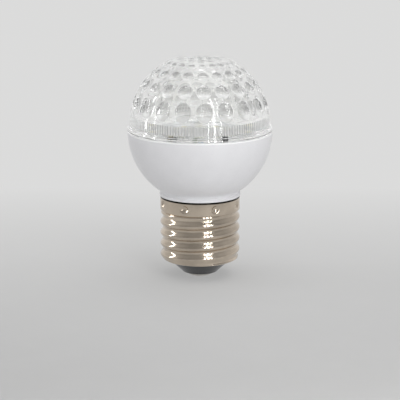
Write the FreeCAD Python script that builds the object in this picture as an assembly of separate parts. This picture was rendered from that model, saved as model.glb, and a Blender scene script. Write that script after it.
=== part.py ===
import FreeCAD
import Part
import math
import os

# LED bulb with a thick clear dimpled dome, a white cup and an E27 screw cap.
# Millimetres. The tip of the centre contact is at the origin and +Z runs up through the dome.
# Every height below the seam is measured from the contact tip, and the dome stands on the seam.

# Overall form
globe_radius = 23.5
neck_lip_radius = 13.25
neck_lip_height = 1.1
neck_lip_chamfer = 0.35
cove_height = 1.6
cove_width = 1.24

# Screw cap, standard E27
cap_height = 27.0
cap_radius = 13.05
thread_root_radius = 12.2
thread_pitch = 3.629
thread_crest_width = 1.3
thread_foot_width = 2.9
rim_height = 4.8
shell_wall = 0.3
shell_mouth_z = 5.4
shell_mouth_radius = 10.9
shell_mouth_height = 2.2
rim_corner = 0.4
shell_lip_width = 0.4
crimp_count = 8
crimp_radius = 1.6
crimp_depth = 0.7

# Insulator and centre contact
insulator_tip_z = 1.3
insulator_tip_radius = 5.8
insulator_top_z = 9.2
insulator_edge = 0.7
insulator_collar_wall = 1.2
insulator_floor = 1.8
insulator_boss_wall = 1.2
contact_radius = 4.7
contact_head = 1.8
contact_flat_radius = 2.6
contact_stem_radius = 1.4
contact_stem_wall = 0.4

# Clear cover
dome_inset = 0.66
dome_centre_above_seam = 2.26
crown_radius = 9.35
dome_edge_round = 0.9
cover_wall = 5.7
cover_rim_height = 1.4
cover_rim_round = 0.35
spigot_depth = 1.9
spigot_wall = 1.4
flute_count = 126
flute_depth = 0.26
flute_bottom_above_seam = 1.5
flute_height = 2.6

# Rows of dimples round the dome, from the lowest row up, with latitudes in degrees
dimple_columns = 20
dimple_turn = 3.6
dimple_latitudes = (18.0, 35.2, 49.7, 61.0)
dimple_diameters = (5.3, 4.8, 3.6, 2.6)
dimple_depths = (0.8, 0.72, 0.5, 0.28)

# Rings of small dimples on the flat crown, from the outer ring in
crown_ring_counts = (12, 6, 1)
crown_ring_radii = (6.3, 3.3, 0.0)
crown_dimple_diameter = 2.5
crown_dimple_depth = 0.3

# White cup
cup_wall_at_rim = 2.1
cup_wall = 2.5
ledge_depth = 3.0
ledge_width = 2.0
neck_bore_radius = 9.8
neck_plug_bottom_z = 12.0
neck_mouth_width = 1.5
guide_width = 3.4
guide_height = 12.0
guide_grip = 1.0
wire_notch_width = 2.4
wire_notch_depth = 2.0
wire_notch_height = 6.0
boss_count = 3
boss_radius = 2.3
boss_inset = 2.2
boss_depth = 9.0
boss_turn = 90.0

# Board and heat spreader
plate_thickness = 1.0
board_thickness = 1.0
board_edge_gap = 0.7
board_flat_depth = 0.7
spreader_above_driver = 0.8
spreader_skirt_gap = 1.2
spreader_wall = 0.8
spreader_taper = 1.2
driver_opening_radius = 9.8
screw_radius = 0.95
screw_head_radius = 1.9
screw_head_height = 0.8
screw_length = 6.5
screw_point = 0.9
screw_head_edge = 0.4
screw_slot_width = 0.45
screw_slot_depth = 0.5
screw_end_gap = 1.0

# Light sources on the board
led_count = 12
led_edge_gap = 8.0
led_length = 3.5
led_width = 2.8
led_height = 0.7
led_edge_chamfer = 0.15
led_well_radius = 1.2
led_well_depth = 0.15

# Small parts near the board's front edge, by their angle from the front, positive to the right
small_part_edge_gap = 3.6
chip_angle = 27.0
chip_length = 1.7
chip_width = 1.4
chip_height = 1.5
chip_draft = 0.12
chip_standoff = 0.1
chip_lead_count = 3
chip_lead_reach = 0.5
chip_lead_width = 0.3
chip_lead_thickness = 0.17
ceramic_capacitor_size = (1.0, 1.6, 1.2)
ceramic_capacitor_angle = -33.6
dark_resistor_size = (1.0, 1.6, 0.9)
dark_resistor_angle = -28.2
green_capacitor_size = (1.25, 2.0, 1.0)
green_capacitor_angle = -5.2
blue_resistor_size = (1.6, 0.8, 0.5)
blue_resistor_angle = 1.0
end_cap_share = 0.2
end_cap_proud = 0.05
end_cap_round = 0.1

# Driver board, its pins and its leads
driver_board_width = 17.6
driver_board_thickness = 1.2
driver_board_bottom_z = 13.0
driver_board_height = 24.0
driver_board_corner = 0.8
pin_radius = 0.4
pin_spacing = 5.0
pin_base_width = 2.0
pin_base_height = 1.6
pin_taper = 0.4
pin_above_board = 1.0
lead_radius = 0.25
wire_radius = 0.45
wire_bend = 1.2
centre_wire_start_x = -1.6
shell_wire_start_x = 0.8
shell_wire_below_plug = 2.0
shell_wire_rise = 4.5
shell_wire_solder_height = 3.5

# Driver parts, placed along the board from its middle line and its bottom edge
can_radius = 4.0
can_length = 12.0
can_x = -2.2
can_top_below_edge = 2.0
can_off_board = 0.3
can_edge = 0.4
can_bead_depth = 0.35
can_bead_height = 1.7
can_lead_spacing = 2.4
coil_radius = 3.2
coil_length = 6.5
coil_x = -3.0
coil_below_edge = 5.0
coil_flange = 0.9
coil_winding_depth = 0.45
rectifier_size = (4.6, 1.5, 3.8)
rectifier_x = -3.0
rectifier_up = 7.0
rectifier_chamfer = 0.3
rectifier_lead_spacing = 2.5
rectifier_lead_size = (0.7, 0.35, 1.2)
resistor_length = 7.0
resistor_bulge_radius = 1.25
resistor_waist_radius = 1.0
resistor_end_radius = 0.9
resistor_bulge_length = 1.4
resistor_slope = 0.5
resistor_x = 4.6
resistor_up = 5.0
switch_size = (3.9, 1.4, 4.9)
switch_x = 3.6
switch_up = 1.5
switch_chamfer = 0.25
switch_lead_pitch = 1.27
switch_lead_size = (1.0, 0.3, 0.45)

# Clearances
slide_gap = 0.1
seat_gap = 0.05

# Sizes that follow from the ones above
cup_foot_radius = neck_lip_radius + cove_width
cup_depth = math.sqrt(globe_radius ** 2 - cup_foot_radius ** 2)
seam_z = cap_height + neck_lip_height + cove_height + cup_depth
dome_radius = globe_radius - dome_inset
dome_centre_z = seam_z + dome_centre_above_seam
crown_z = dome_centre_z + math.sqrt(dome_radius ** 2 - crown_radius ** 2)
cavity_radius = dome_radius - cover_wall
cup_bore_radius = globe_radius - cup_wall_at_rim
spigot_radius = cup_bore_radius - slide_gap
ledge_z = seam_z - ledge_depth
ledge_bore_radius = cup_bore_radius - ledge_width
boss_circle_radius = ledge_bore_radius - boss_inset
plate_radius = cup_bore_radius - slide_gap
board_radius = spigot_radius - spigot_wall - board_edge_gap
board_bottom_z = ledge_z + plate_thickness
board_top_z = board_bottom_z + board_thickness
spreader_skirt_radius = boss_circle_radius - boss_radius - spreader_skirt_gap
led_circle_radius = board_radius - led_edge_gap
small_part_circle_radius = board_radius - small_part_edge_gap
rim_bottom_z = cap_height - rim_height
plug_step_z = rim_bottom_z + shell_wall + rim_corner / 2 + slide_gap
plug_radius = thread_root_radius - shell_wall - slide_gap
plug_rim_radius = cap_radius - shell_wall - slide_gap
driver_board_top_z = driver_board_bottom_z + driver_board_height

origin = FreeCAD.Vector(0, 0, 0)
up = FreeCAD.Vector(0, 0, 1)


def at(radius, angle, z):
    """A point given by its distance from the axis, its angle in degrees and its height."""
    turn = math.radians(angle)
    return FreeCAD.Vector(radius * math.cos(turn), radius * math.sin(turn), z)


def line(start, end):
    """A straight edge of a half section, given as radius and height."""
    ends = [FreeCAD.Vector(p[0], 0, p[1]) for p in (start, end)]
    return Part.LineSegment(*ends).toShape()


def arc(start, middle, end):
    """A round edge of a half section through three points."""
    points = [FreeCAD.Vector(p[0], 0, p[1]) for p in (start, middle, end)]
    return Part.Arc(*points).toShape()


def turned(edges):
    """The solid that a closed half section makes when it is turned about the axis."""
    return Part.Face(Part.Wire(edges)).revolve(origin, up, 360)


def outline(points):
    """Straight edges through the points of a half section, without closing it."""
    return [line(a, b) for a, b in zip(points, points[1:])]


def turned_points(points):
    """A turned solid whose half section has only straight edges."""
    return turned(outline(points + [points[0]]))


def block(length, width, height, centre_x, centre_y, low):
    """A box that stands on a height with its centre at x, y."""
    corner = FreeCAD.Vector(centre_x - length / 2, centre_y - width / 2, low)
    return Part.makeBox(length, width, height, corner)


def turned_to(shape, angle):
    """A copy of a shape, turned about the main axis."""
    copy = shape.copy()
    copy.rotate(origin, up, angle)
    return copy


def on_sphere(centre_z, radius, latitude):
    """Distance from the axis and height of the point of a sphere at a latitude."""
    turn = math.radians(latitude)
    return radius * math.cos(turn), centre_z + radius * math.sin(turn)


def sphere_arc(centre_z, radius, start, end):
    """The arc of a sphere's half section between two of its points."""
    first = math.atan2(start[1] - centre_z, start[0])
    last = math.atan2(end[1] - centre_z, end[0])
    middle = (first + last) / 2
    return arc(start, (radius * math.cos(middle), centre_z + radius * math.sin(middle)), end)


def top_edges(shape, height):
    """The edges of a shape that lie at a height."""
    return [edge for edge in shape.Edges if edge.BoundBox.ZMin > height - seat_gap]


def dimple_cutter(diameter, depth):
    """The distance from the dome's centre and the radius of the sphere that cuts one dimple."""
    half = diameter / 2
    mouth = math.sqrt(dome_radius ** 2 - half ** 2)
    bottom = dome_radius - depth
    distance = (half ** 2 + mouth ** 2 - bottom ** 2) / (2 * (mouth - bottom))
    return distance, distance - bottom


def dome_dimples():
    """The cutting spheres of the rows round the dome, in straight columns."""
    cutters = []
    for latitude, diameter, depth in zip(dimple_latitudes, dimple_diameters, dimple_depths):
        distance, radius = dimple_cutter(diameter, depth)
        ring, height = on_sphere(dome_centre_z, distance, latitude)
        for column in range(dimple_columns):
            angle = -90 + dimple_turn + column * 360 / dimple_columns
            cutters.append(Part.makeSphere(radius, at(ring, angle, height)))
    return cutters


def crown_dimples():
    """The cutting spheres of the small dimples on the flat crown."""
    half = crown_dimple_diameter / 2
    radius = (half ** 2 + crown_dimple_depth ** 2) / (2 * crown_dimple_depth)
    height = crown_z - crown_dimple_depth + radius
    cutters = []
    for count, ring in zip(crown_ring_counts, crown_ring_radii):
        for index in range(count):
            angle = -90 + dimple_turn + index * 360 / count
            cutters.append(Part.makeSphere(radius, at(ring, angle, height)))
    return cutters


def flutes():
    """The fluted band cut into the cover's inner wall, as one star-shaped prism."""
    low = seam_z + flute_bottom_above_seam
    points = []
    for index in range(flute_count):
        angle = index * 360 / flute_count
        points.append(at(cavity_radius, angle, low))
        points.append(at(cavity_radius + flute_depth, angle + 180 / flute_count, low))
    star = Part.makePolygon(points + [points[0]])
    return Part.Face(star).extrude(FreeCAD.Vector(0, 0, flute_height))


def clear_cover():
    """Thick clear dome with a flat crown, a stepped rim, a spigot, dimples and inner flutes."""
    rim_top = seam_z + cover_rim_height
    foot_radius = math.sqrt(dome_radius ** 2 - (rim_top - dome_centre_z) ** 2)
    spigot_z = seam_z - spigot_depth
    round_start = (globe_radius, rim_top - cover_rim_round)
    round_end = (globe_radius - cover_rim_round, rim_top)
    slant = cover_rim_round * (1 - math.sqrt(0.5))
    cavity_top = (0, dome_centre_z + cavity_radius)
    cavity_foot = (cavity_radius, dome_centre_z)
    shell = turned(
        [line((0, crown_z), cavity_top), sphere_arc(dome_centre_z, cavity_radius, cavity_top, cavity_foot)]
        + outline(
            [
                cavity_foot,
                (cavity_radius, seam_z),
                (spigot_radius - spigot_wall, seam_z),
                (spigot_radius - spigot_wall, spigot_z),
                (spigot_radius, spigot_z),
                (spigot_radius, seam_z),
                (globe_radius, seam_z),
                round_start,
            ]
        )
        + [arc(round_start, (globe_radius - slant, rim_top - slant), round_end)]
        + [line(round_end, (foot_radius, rim_top))]
        + [sphere_arc(dome_centre_z, dome_radius, (foot_radius, rim_top), (crown_radius, crown_z))]
        + [line((crown_radius, crown_z), (0, crown_z))]
    )
    crown_edges = [edge for edge in top_edges(shell, crown_z) if edge.Closed]
    shell = shell.makeFillet(dome_edge_round, crown_edges)
    return shell.cut(dome_dimples() + crown_dimples() + [flutes()])


def cup_body():
    """The turned form of the white cup, open at the top, with its neck plug inside the screw shell."""
    foot_z = seam_z - cup_depth
    lip_top_z = cap_height + neck_lip_height
    cove_radius = neck_lip_radius - neck_lip_chamfer
    cove_middle = (cove_radius + (cup_foot_radius - cove_radius) * 0.28, lip_top_z + cove_height * 0.62)
    inner_radius = globe_radius - cup_wall
    floor_edge_radius = neck_bore_radius + neck_mouth_width
    floor_z = seam_z - math.sqrt(inner_radius ** 2 - floor_edge_radius ** 2)
    floor_edge = (floor_edge_radius, floor_z)
    wall_top_z = seam_z - math.sqrt(inner_radius ** 2 - ledge_bore_radius ** 2)
    return turned(
        [sphere_arc(seam_z, globe_radius, (globe_radius, seam_z), (cup_foot_radius, foot_z))]
        + [arc((cup_foot_radius, foot_z), cove_middle, (cove_radius, lip_top_z))]
        + outline(
            [
                (cove_radius, lip_top_z),
                (neck_lip_radius, lip_top_z - neck_lip_chamfer),
                (neck_lip_radius, cap_height),
                (plug_rim_radius, cap_height),
                (plug_rim_radius, plug_step_z),
                (plug_radius, plug_step_z),
                (plug_radius, neck_plug_bottom_z),
                (neck_bore_radius, neck_plug_bottom_z),
                (neck_bore_radius, floor_z - neck_mouth_width),
                floor_edge,
            ]
        )
        + [sphere_arc(seam_z, inner_radius, floor_edge, (ledge_bore_radius, wall_top_z))]
        + outline(
            [
                (ledge_bore_radius, wall_top_z),
                (ledge_bore_radius, ledge_z),
                (cup_bore_radius, ledge_z),
                (cup_bore_radius, seam_z),
                (globe_radius, seam_z),
            ]
        )
    )


def boss_angles():
    """The angles of the screw bosses."""
    return [boss_turn + index * 360 / boss_count for index in range(boss_count)]


def board_guides():
    """Two grooved ribs in the neck that hold the driver board by its edges, and the groove they share."""
    length = neck_bore_radius + plug_radius
    ribs = block(length, guide_width, guide_height, 0, 0, neck_plug_bottom_z)
    ribs = ribs.cut(Part.makeCylinder(driver_board_width / 2 - guide_grip, cap_height + globe_radius))
    groove = block(
        driver_board_width + 2 * slide_gap,
        driver_board_thickness + 2 * slide_gap,
        driver_board_height,
        0,
        0,
        driver_board_bottom_z,
    )
    return ribs, groove


def lower_housing():
    """White cup with screw bosses, board guides, crimp recesses and a notch for the shell wire."""
    body = cup_body()
    outer_limit = Part.makeSphere(globe_radius - cup_wall / 2, FreeCAD.Vector(0, 0, seam_z))
    bosses = []
    pilots = []
    for angle in boss_angles():
        foot = at(boss_circle_radius, angle, ledge_z - boss_depth)
        bosses.append(Part.makeCylinder(boss_radius, boss_depth, foot).common(outer_limit))
        hole_foot = at(boss_circle_radius, angle, ledge_z - screw_length)
        pilots.append(Part.makeCylinder(screw_radius + seat_gap, screw_length, hole_foot))
    ribs, groove = board_guides()
    notch_depth = wire_notch_depth * 2
    notch = block(wire_notch_width, notch_depth, wire_notch_height, 0, plug_radius, neck_plug_bottom_z)
    recesses = crimp_spheres(crimp_radius + shell_wall + seat_gap)
    return body.fuse(bosses + [ribs]).cut(pilots + [groove, notch] + recesses).removeSplitter()


def crimp_spheres(radius):
    """Spheres at the crimps of the cap's rim, all with the given radius."""
    distance = cap_radius + crimp_radius - crimp_depth
    height = cap_height - rim_height / 2
    angles = [(index + 0.5) * 360 / crimp_count for index in range(crimp_count)]
    return [Part.makeSphere(radius, at(distance, angle, height)) for angle in angles]


def thread_ridge():
    """The helical ridge of the thread, with sloped flanks and a softened crest, rooted inside the shell."""
    length = rim_bottom_z - shell_mouth_z
    height = cap_radius - thread_root_radius
    half_section = (
        (thread_root_radius - shell_wall / 2, thread_foot_width / 2),
        (cap_radius - height * 0.3, thread_crest_width / 2),
        (cap_radius, thread_crest_width / 4),
    )
    lower = [FreeCAD.Vector(radius, 0, -reach) for radius, reach in half_section]
    upper = [FreeCAD.Vector(radius, 0, reach) for radius, reach in reversed(half_section)]
    profile = Part.makePolygon(lower + upper + [lower[0]])
    helix = Part.Wire(Part.makeHelix(thread_pitch, length, thread_root_radius))
    ridge = helix.makePipeShell([profile], True, True)
    ridge.translate(FreeCAD.Vector(0, 0, shell_mouth_z))
    return ridge


def screw_shell():
    """Rolled E27 screw shell: helical thread, plain rim with crimps, and a turned-in mouth."""
    mouth_top = shell_mouth_z + shell_mouth_height
    rim_low = rim_bottom_z + rim_corner
    clear = cap_radius + slide_gap
    foot = FreeCAD.Vector(0, 0, shell_mouth_z)
    core = Part.makeCylinder(thread_root_radius, cap_height - shell_mouth_z, foot)
    bulge_radius = shell_mouth_radius + (clear - shell_mouth_radius) * 0.66
    bulge = (bulge_radius, shell_mouth_z + shell_mouth_height * 0.4)
    envelope = turned(
        [arc((shell_mouth_radius, shell_mouth_z), bulge, (clear, mouth_top))]
        + outline(
            [
                (clear, mouth_top),
                (clear, rim_low),
                (0, rim_low),
                (0, shell_mouth_z),
                (shell_mouth_radius, shell_mouth_z),
            ]
        )
    )
    threaded = core.fuse(thread_ridge()).common(envelope)
    rim = turned_points(
        [
            (0, rim_bottom_z),
            (cap_radius - rim_corner, rim_bottom_z),
            (cap_radius, rim_low),
            (cap_radius, cap_height),
            (0, cap_height),
        ]
    )
    mouth = shell_mouth_radius - shell_wall - shell_lip_width
    step_top = rim_bottom_z + shell_wall
    bore = turned_points(
        [
            (0, shell_mouth_z - shell_wall),
            (mouth, shell_mouth_z - shell_wall),
            (mouth, shell_mouth_z + shell_wall),
            (thread_root_radius - shell_wall, mouth_top + shell_wall),
            (thread_root_radius - shell_wall, step_top),
            (cap_radius - shell_wall, step_top + rim_corner / 2),
            (cap_radius - shell_wall, cap_height + shell_wall),
            (0, cap_height + shell_wall),
        ]
    )
    inside = Part.makeCylinder(cap_radius - shell_wall / 2, cap_height)
    bumps = [sphere.common(inside) for sphere in crimp_spheres(crimp_radius + shell_wall)]
    shell = threaded.fuse(rim).cut(bore).fuse(bumps)
    return shell.cut(crimp_spheres(crimp_radius))


def cap_insulator():
    """Black insulating cone between the screw shell and the centre contact."""
    mouth = shell_mouth_radius - shell_wall - shell_lip_width - seat_gap
    collar = thread_root_radius - shell_wall - slide_gap
    shoulder_z = shell_mouth_z + shell_mouth_height + shell_wall + slide_gap
    bore = contact_stem_radius + seat_gap
    boss = bore + insulator_boss_wall
    boss_top = insulator_top_z - contact_stem_wall
    return turned_points(
        [
            (bore, insulator_tip_z),
            (insulator_tip_radius, insulator_tip_z),
            (insulator_tip_radius + insulator_edge, insulator_tip_z + insulator_edge),
            (mouth - insulator_edge, shell_mouth_z - insulator_edge),
            (mouth, shell_mouth_z),
            (mouth, shell_mouth_z + shell_wall + slide_gap),
            (collar, shoulder_z),
            (collar, insulator_top_z),
            (collar - insulator_collar_wall, insulator_top_z),
            (collar - insulator_collar_wall - insulator_edge, shoulder_z),
            (boss + insulator_edge, shoulder_z - insulator_floor + insulator_edge),
            (boss, boss_top),
            (bore, boss_top),
        ]
    )


def centre_contact():
    """Rivet-shaped centre contact: a domed button with a flat tip and a hollow stem."""
    edge_z = insulator_tip_z
    reach = contact_radius - contact_flat_radius
    bend = (reach ** 2 + edge_z ** 2) / (2 * edge_z)
    middle = (math.atan2(edge_z - bend, reach) - math.pi / 2) / 2
    bend_point = (contact_flat_radius + bend * math.cos(middle), bend + bend * math.sin(middle))
    return turned(
        [line((0, 0), (contact_flat_radius, 0))]
        + [arc((contact_flat_radius, 0), bend_point, (contact_radius, edge_z))]
        + outline(
            [
                (contact_radius, edge_z),
                (contact_stem_radius, edge_z),
                (contact_stem_radius, insulator_top_z),
                (contact_stem_radius - contact_stem_wall, insulator_top_z),
                (contact_stem_radius - contact_stem_wall, contact_head),
                (0, contact_head),
                (0, 0),
            ]
        )
    )


def screw_holes(low, thickness):
    """Clearance holes for the board screws through a plate."""
    radius = screw_radius + slide_gap
    feet = [at(boss_circle_radius, angle, low) for angle in boss_angles()]
    return [Part.makeCylinder(radius, thickness, foot) for foot in feet]


def heat_spreader():
    """Pressed aluminium plate under the board, with a skirt down into the cup."""
    low = driver_board_top_z + spreader_above_driver
    skirt_foot = spreader_skirt_radius - spreader_taper
    body = turned_points(
        [
            (driver_opening_radius, ledge_z),
            (spreader_skirt_radius - spreader_wall, ledge_z),
            (skirt_foot - spreader_wall, low),
            (skirt_foot, low),
            (spreader_skirt_radius, ledge_z),
            (plate_radius, ledge_z),
            (plate_radius, board_bottom_z),
            (driver_opening_radius, board_bottom_z),
        ]
    )
    return body.cut(screw_holes(ledge_z, plate_thickness))


def led_board():
    """Round board with screw holes, pin holes and a locating flat."""
    disc = Part.makeCylinder(board_radius, board_thickness, FreeCAD.Vector(0, 0, board_bottom_z))
    holes = screw_holes(board_bottom_z, board_thickness)
    for side in (-1, 1):
        place = FreeCAD.Vector(side * pin_spacing / 2, 0, board_bottom_z)
        holes.append(Part.makeCylinder(pin_radius + slide_gap, board_thickness, place))
    flat_y = board_radius
    flat = block(board_radius, board_flat_depth * 2, board_thickness, 0, flat_y, board_bottom_z)
    return disc.cut(holes + [flat])


def led_package():
    """One light source lying along +X from the axis: a body with a shallow round well."""
    top = board_top_z + led_height
    body = block(led_width, led_length, led_height, led_circle_radius, 0, board_top_z)
    body = body.makeChamfer(led_edge_chamfer, top_edges(body, top))
    place = FreeCAD.Vector(led_circle_radius, 0, top - led_well_depth)
    well = Part.makeCone(led_well_radius - led_well_depth, led_well_radius, led_well_depth, place)
    return body.cut(well)


def placed_on_board(shape, radius, angle):
    """A part that was drawn on the axis with its length along X, moved to its place round the board."""
    copy = turned_to(shape, angle)
    copy.translate(at(radius, angle - 90, 0))
    return copy


def chip_lead(side, offset):
    """One bent lead of the control chip, from its side down to a flat foot."""
    start = chip_width / 2
    height = chip_height * 0.45
    foot = start + chip_lead_reach
    knee = start + chip_lead_reach / 3
    heel = knee + chip_lead_thickness
    points = [
        (start - chip_draft, height),
        (knee, height),
        (heel, chip_lead_thickness),
        (foot, chip_lead_thickness),
        (foot, 0),
        (knee, 0),
        (knee - chip_lead_thickness, height - chip_lead_thickness),
        (start - chip_draft, height - chip_lead_thickness),
    ]
    corners = [FreeCAD.Vector(offset - chip_lead_width / 2, side * y, board_top_z + z) for y, z in points]
    section = Part.Face(Part.makePolygon(corners + [corners[0]]))
    return section.extrude(FreeCAD.Vector(chip_lead_width, 0, 0))


def chip_ring(height, inset):
    """One level of the control chip's tapered body."""
    half_x = chip_length / 2 - inset
    half_y = chip_width / 2 - inset
    corners = [(-half_x, -half_y), (half_x, -half_y), (half_x, half_y), (-half_x, half_y)]
    ring = [FreeCAD.Vector(x, y, board_top_z + height) for x, y in corners]
    return Part.makePolygon(ring + [ring[0]])


def control_chip():
    """Black control chip with a tapered body and bent leads on its two long sides."""
    middle = (chip_standoff + chip_height) / 2
    rings = [chip_ring(chip_standoff, chip_draft), chip_ring(middle, 0), chip_ring(chip_height, chip_draft)]
    body = Part.makeLoft(rings, True, True)
    pitch = chip_length / chip_lead_count
    first = -pitch * (chip_lead_count - 1) / 2
    leads = [chip_lead(side, first + pitch * index) for side in (-1, 1) for index in range(chip_lead_count)]
    return placed_on_board(body.fuse(leads), small_part_circle_radius, chip_angle)


def chip_part(size, angle):
    """A chip resistor or capacitor with rounded end caps that stand slightly proud of its body."""
    length, width, height = size
    cap_length = length * end_cap_share
    body_width = width - 2 * end_cap_proud
    body_height = height - 2 * end_cap_proud
    body = block(length - cap_length, body_width, body_height, 0, 0, board_top_z + end_cap_proud)
    ends = []
    for side in (-1, 1):
        end = block(cap_length, width, height, side * (length - cap_length) / 2, 0, board_top_z)
        long_edges = [edge for edge in end.Edges if edge.BoundBox.XLength > cap_length / 2]
        ends.append(end.makeFillet(end_cap_round, long_edges))
    return placed_on_board(body.fuse(ends), small_part_circle_radius, angle)


def board_screw():
    """Pan-head screw with a cross recess, on the +X side of the axis."""
    crown = board_top_z + screw_head_height
    tip = ledge_z - screw_length + screw_end_gap
    edge = (screw_head_radius, board_top_z + screw_head_edge)
    bulge = (screw_head_radius * 0.72, crown - (screw_head_height - screw_head_edge) * 0.4)
    body = turned(
        outline(
            [
                (0, crown),
                (0, tip),
                (screw_radius, tip + screw_point),
                (screw_radius, board_top_z),
                (screw_head_radius, board_top_z),
                edge,
            ]
        )
        + [arc(edge, bulge, (0, crown))]
    )
    slot_length = screw_head_radius
    slot_z = crown - screw_slot_depth
    slots = [
        block(slot_length, screw_slot_width, screw_head_height, 0, 0, slot_z),
        block(screw_slot_width, slot_length, screw_head_height, 0, 0, slot_z),
    ]
    body = body.cut(slots)
    body.translate(FreeCAD.Vector(boss_circle_radius, 0, 0))
    return body


def driver_board():
    """Upright board of the driver, held by its edges in the neck."""
    size = (driver_board_width, driver_board_thickness, driver_board_height)
    board = block(*size, 0, 0, driver_board_bottom_z)
    half_length = (driver_board_width + driver_board_height) / 4
    corners = [edge for edge in board.Edges if edge.BoundBox.DiagonalLength < half_length]
    return board.makeFillet(driver_board_corner, corners)


def driver_lead(side, x, z, reach):
    """A straight lead that ends on a face of the driver board."""
    start = FreeCAD.Vector(x, side * driver_board_thickness / 2, z)
    return Part.makeCylinder(lead_radius, reach, start, FreeCAD.Vector(0, side, 0))


def filter_capacitor():
    """Round can capacitor standing upright beside the driver board, with a beaded neck."""
    reach = driver_board_thickness / 2 + can_off_board + can_radius
    low = driver_board_top_z - can_top_below_edge - can_length
    can = turned_points(
        [
            (0, 0),
            (can_radius - can_edge, 0),
            (can_radius, can_edge),
            (can_radius, can_bead_height - can_edge),
            (can_radius - can_bead_depth, can_bead_height),
            (can_radius, can_bead_height + can_edge),
            (can_radius, can_length - can_edge),
            (can_radius - can_edge, can_length),
            (0, can_length),
        ]
    )
    can.translate(FreeCAD.Vector(can_x, -reach, low))
    lead_z = low + can_edge + 4 * lead_radius
    places = (can_x - can_lead_spacing / 2, can_x + can_lead_spacing / 2)
    return can.fuse([driver_lead(-1, x, lead_z, can_radius / 2) for x in places])


def inductor():
    """Drum-core inductor on the other face of the driver board, its axis square to the board."""
    waist = coil_radius - coil_winding_depth
    drum = turned_points(
        [
            (0, 0),
            (coil_radius, 0),
            (coil_radius, coil_flange),
            (waist, coil_flange),
            (waist, coil_length - coil_flange),
            (coil_radius, coil_length - coil_flange),
            (coil_radius, coil_length),
            (0, coil_length),
        ]
    )
    drum.rotate(origin, FreeCAD.Vector(1, 0, 0), -90)
    drum.translate(FreeCAD.Vector(coil_x, driver_board_thickness / 2, driver_board_top_z - coil_below_edge))
    return drum


def bridge_rectifier():
    """Small rectifier block on the driver board with four leads."""
    width, depth, height = rectifier_size
    lead_width, lead_thickness, lead_height = rectifier_lead_size
    face = driver_board_thickness / 2
    low = driver_board_bottom_z + rectifier_up
    body = block(width, depth, height, rectifier_x, face + lead_thickness / 2 + depth / 2, low)
    outer_edges = [edge for edge in body.Edges if edge.BoundBox.YMin > face + depth - seat_gap]
    body = body.makeChamfer(rectifier_chamfer, outer_edges)
    leads = []
    for side in (-1, 1):
        x = rectifier_x + side * rectifier_lead_spacing / 2
        y = face + lead_thickness / 2
        for end in (low, low + height):
            leads.append(block(lead_width, lead_thickness, lead_height, x, y, end - lead_height / 2))
    return body.fuse(leads)


def fusible_resistor():
    """Axial resistor with bulged ends, standing along the driver board."""
    half_section = [
        (0, 0),
        (resistor_end_radius, 0),
        (resistor_bulge_radius, resistor_slope),
        (resistor_bulge_radius, resistor_bulge_length),
        (resistor_waist_radius, resistor_bulge_length + resistor_slope),
    ]
    mirrored = [(radius, resistor_length - height) for radius, height in reversed(half_section)]
    body = turned_points(half_section + mirrored)
    low = driver_board_bottom_z + resistor_up
    off_board = driver_board_thickness / 2 + resistor_bulge_radius + slide_gap
    body.translate(FreeCAD.Vector(resistor_x, off_board, low))
    lead_heights = (low + resistor_bulge_length / 2, low + resistor_length - resistor_bulge_length / 2)
    return body.fuse([driver_lead(1, resistor_x, z, resistor_bulge_radius) for z in lead_heights])


def switching_chip():
    """Driver chip on the face that carries the can capacitor, with four leads on each side."""
    width, depth, height = switch_size
    lead_reach, lead_thickness, lead_width = switch_lead_size
    face = -driver_board_thickness / 2
    low = driver_board_bottom_z + switch_up
    body = block(width, depth, height, switch_x, face - lead_thickness / 2 - depth / 2, low)
    outer_edges = [edge for edge in body.Edges if edge.BoundBox.YMax < face - depth + seat_gap]
    body = body.makeChamfer(switch_chamfer, outer_edges)
    leads = []
    lead_count = int(height / switch_lead_pitch) + 1
    first = low + (height - (lead_count - 1) * switch_lead_pitch - lead_width) / 2
    for side in (-1, 1):
        x = switch_x + side * (width + lead_reach) / 2 - side * slide_gap
        for index in range(lead_count):
            z = first + index * switch_lead_pitch
            leads.append(block(lead_reach, lead_thickness, lead_width, x, face - lead_thickness / 2, z))
    return body.fuse(leads)


def board_pin(side):
    """Pin that stands on the driver board's top edge and comes up through the LED board."""
    low = driver_board_top_z
    high = board_top_z + pin_above_board
    x = side * pin_spacing / 2
    pin = Part.makeCylinder(pin_radius, high - low - pin_taper, FreeCAD.Vector(x, 0, low))
    tip = Part.makeCone(pin_radius, pin_radius / 2, pin_taper, FreeCAD.Vector(x, 0, high - pin_taper))
    base = block(pin_base_width, driver_board_thickness, pin_base_height, x, 0, low)
    return pin.fuse([tip, base])


def swept(points, bend, radius):
    """A round wire along straight runs that are joined by arcs of one bend radius."""
    edges = []
    start = points[0]
    for before, corner, after in zip(points, points[1:], points[2:]):
        into = (corner - before).normalize()
        out = (after - corner).normalize()
        half = into.getAngle(out) / 2
        cut = bend * math.tan(half)
        arc_start = corner - into * cut
        arc_end = corner + out * cut
        inward = (out - into).normalize()
        middle = corner + inward * (bend / math.cos(half) - bend)
        edges.append(Part.LineSegment(start, arc_start).toShape())
        edges.append(Part.Arc(arc_start, middle, arc_end).toShape())
        start = arc_end
    edges.append(Part.LineSegment(start, points[-1]).toShape())
    ring = Part.Wire([Part.Circle(points[0], (points[1] - points[0]).normalize(), radius).toShape()])
    return Part.Wire(edges).makePipeShell([ring], True, True)


def centre_wire():
    """Lead from the driver board's bottom edge down into the hollow stem of the centre contact."""
    top = driver_board_bottom_z
    jog = -centre_wire_start_x
    return swept(
        [
            FreeCAD.Vector(centre_wire_start_x, 0, top),
            FreeCAD.Vector(centre_wire_start_x, 0, top - jog),
            FreeCAD.Vector(0, 0, top - 2 * jog),
            FreeCAD.Vector(0, 0, contact_head + seat_gap),
        ],
        wire_bend,
        wire_radius,
    )


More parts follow.
